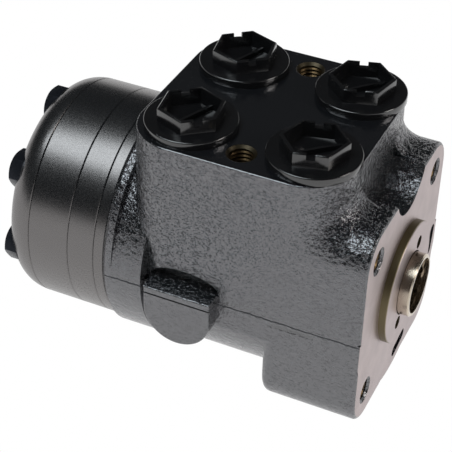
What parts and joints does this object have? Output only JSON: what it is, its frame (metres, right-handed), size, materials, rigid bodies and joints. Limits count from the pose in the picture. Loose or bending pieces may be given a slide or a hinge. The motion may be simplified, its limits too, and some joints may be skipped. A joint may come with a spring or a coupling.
{
  "type": "orbital steering unit",
  "caption": "Hydrostatic steering unit: cast housing with a port block and mounting flange, splined input, rotary valve set and a round gerotor stack closed by a screwed end cover.",
  "frame": {"origin": "centre of the mounting flange face, on the shaft axis", "axes": "+X out of the flange along the input shaft, +Z out of the port face, +Y to the side without the cast lug"},
  "size_m": [0.149, 0.0909, 0.1095],
  "materials": {
    "housing_casting": "gloss",
    "stack_enamel": "gloss",
    "gear_steel": "ground",
    "screw_black": "semi-gloss",
    "washer_metal": "dull",
    "ball_steel": "polished",
    "seal_rubber": "matt",
    "shaft_steel": "bright turned",
    "spring_steel": "blued",
    "plug_plastic": "gloss"
  },
  "bodies": {
    "housing_body": {"housing": "housing_casting", "spacer_plate": "stack_enamel", "distributor_plate": "stack_enamel", "gear_ring": "stack_enamel", "end_cover": "stack_enamel", "cover_screws": "screw_black", "pin_screw": "screw_black", "cover_washers": "washer_metal", "check_bushing": "gear_steel", "dust_seal": "seal_rubber", "shaft_seal": "seal_rubber", "seal_energiser": "seal_rubber", "spacer_seal": "seal_rubber", "distributor_seal": "seal_rubber", "cover_seal": "seal_rubber", "front_thrust_race": "ball_steel", "port_plug_near_rear": "plug_plastic", "port_plug_near_front": "plug_plastic", "port_plug_far_rear": "plug_plastic", "port_plug_far_front": "plug_plastic"},
    "sleeve_body": {"sleeve": "gear_steel", "spring_ring": "gear_steel", "centring_springs": "spring_steel", "cross_pin": "ball_steel", "rear_thrust_race": "ball_steel"},
    "spool_body": {"spool": "shaft_steel"},
    "bearing_body": {"bearing_needles": "ball_steel", "bearing_cage": "gear_steel"},
    "orbit_body": {"cardan_spacer": "gear_steel"},
    "wheel_body": {"gear_wheel": "gear_steel"},
    "cardan_body": {"cardan_shaft": "gear_steel"},
    "check_body": {"check_ball": "ball_steel"}
  },
  "joints": [
    {"name": "sleeve_turn", "type": "hinge", "parent": "housing_body", "child": "sleeve_body", "pos_m": [-0.046, 0, 0], "axis": [1, 0, 0], "continuous": true},
    {"name": "spool_lead", "type": "hinge", "parent": "sleeve_body", "child": "spool_body", "pos_m": [-0.03, 0, 0], "axis": [1, 0, 0], "range_deg": [-8, 8], "stiffness_Nm_per_rad": 12, "deforming": ["centring_springs"]},
    {"name": "bearing_roll", "type": "hinge", "parent": "housing_body", "child": "bearing_body", "pos_m": [-0.02075, 0, 0], "axis": [1, 0, 0], "continuous": true},
    {"name": "wheel_orbit", "type": "hinge", "parent": "housing_body", "child": "orbit_body", "pos_m": [-0.1208, 0, 0], "axis": [1, 0, 0], "continuous": true},
    {"name": "wheel_spin", "type": "hinge", "parent": "orbit_body", "child": "wheel_body", "pos_m": [-0.1208, 0, -0.003], "axis": [1, 0, 0], "continuous": true},
    {"name": "cardan_spin", "type": "hinge", "parent": "orbit_body", "child": "cardan_body", "pos_m": [-0.046, 0, 0], "axis": [0.9992, 0, 0.0401], "continuous": true},
    {"name": "check_lift", "type": "slide", "parent": "housing_body", "child": "check_body", "axis": [-1, 0, 0], "range_m": [0, 0.002]}
  ],
  "couplings": [
    {"joint": "bearing_roll", "follows": "sleeve_turn", "ratio": 0.5},
    {"joint": "wheel_orbit", "follows": "sleeve_turn", "ratio": -6},
    {"joint": "wheel_spin", "follows": "sleeve_turn", "ratio": 7},
    {"joint": "cardan_spin", "follows": "sleeve_turn", "ratio": 7}
  ]
}
